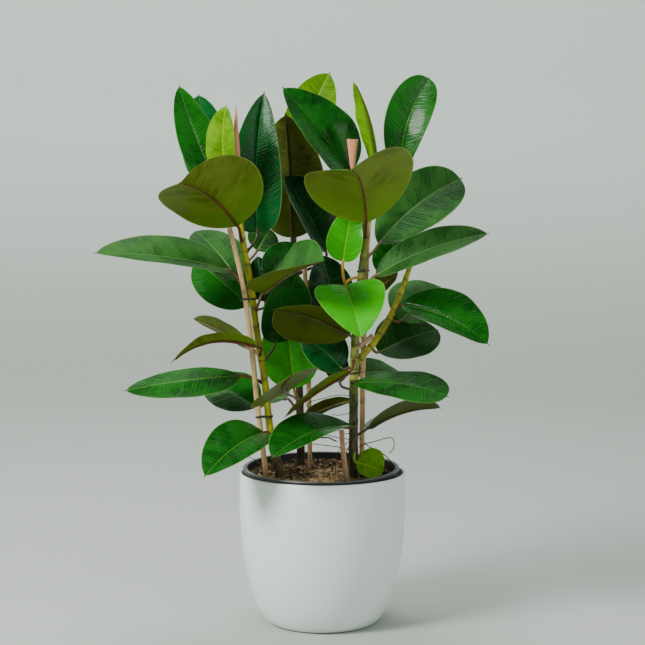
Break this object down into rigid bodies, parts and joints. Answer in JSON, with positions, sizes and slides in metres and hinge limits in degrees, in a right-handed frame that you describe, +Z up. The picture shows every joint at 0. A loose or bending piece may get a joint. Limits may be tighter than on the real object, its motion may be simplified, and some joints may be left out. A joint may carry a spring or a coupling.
{
  "type": "potted rubber plant",
  "caption": "Upright potted rubber plant with broad oval leaves on caned stems, in a black nursery pot standing inside a round-bottomed white planter.",
  "frame": {"origin": "centre of the planter's flat underside, on the floor", "axes": "+Z up along the planter's axis; -Y is the front, the side the broad leaves face; +X is to the right seen from the front"},
  "size_m": [0.5726, 0.3404, 0.8306],
  "materials": {
    "white_planter": "satin",
    "black_nursery_plastic": "satin",
    "peat_soil": "matte, crumbly",
    "green_stem": "satin",
    "split_cane": "matte",
    "dark_wire": "matte",
    "pink_sheath": "satin",
    "leaf_green": "gloss"
  },
  "bodies": {
    "root": {"bud_sheath_a": "pink_sheath", "bud_sheath_c": "pink_sheath", "cane_a": "split_cane", "cane_b": "split_cane", "cane_c": "split_cane", "front_stake": "split_cane", "leaf_a01": "leaf_green", "leaf_a02": "leaf_green", "leaf_a03": "leaf_green", "leaf_a05": "leaf_green", "leaf_a06": "leaf_green", "leaf_a07": "leaf_green", "leaf_a08": "leaf_green", "leaf_a09": "leaf_green", "leaf_a10": "leaf_green", "leaf_a11": "leaf_green", "leaf_a12": "leaf_green", "leaf_a14": "leaf_green", "leaf_a35": "leaf_green", "leaf_a44": "leaf_green", "leaf_a45": "leaf_green", "leaf_a46": "leaf_green", "leaf_a47": "leaf_green", "leaf_b20": "leaf_green", "leaf_b37": "leaf_green", "leaf_b39": "leaf_green", "leaf_b49": "leaf_green", "leaf_b50": "leaf_green", "leaf_b51": "leaf_green", "leaf_c15": "leaf_green", "leaf_c16": "leaf_green", "leaf_c17": "leaf_green", "leaf_c18": "leaf_green", "leaf_c19": "leaf_green", "leaf_c21": "leaf_green", "leaf_c23": "leaf_green", "leaf_c24": "leaf_green", "leaf_c25": "leaf_green", "leaf_c26": "leaf_green", "leaf_c28": "leaf_green", "leaf_c29": "leaf_green", "leaf_c30": "leaf_green", "leaf_c31": "leaf_green", "leaf_c32": "leaf_green", "leaf_c33": "leaf_green", "leaf_c34": "leaf_green", "leaf_c36": "leaf_green", "leaf_c38": "leaf_green", "leaf_c40": "leaf_green", "leaf_c43": "leaf_green", "nursery_pot": "black_nursery_plastic", "planter": "white_planter", "soil": "peat_soil", "stem_a": "green_stem", "stem_b": "green_stem", "stem_c": "green_stem", "tie_a_lower": "dark_wire", "tie_a_upper": "dark_wire", "tie_c_lower": "dark_wire", "tie_c_upper": "dark_wire"}
  },
  "joints": []
}
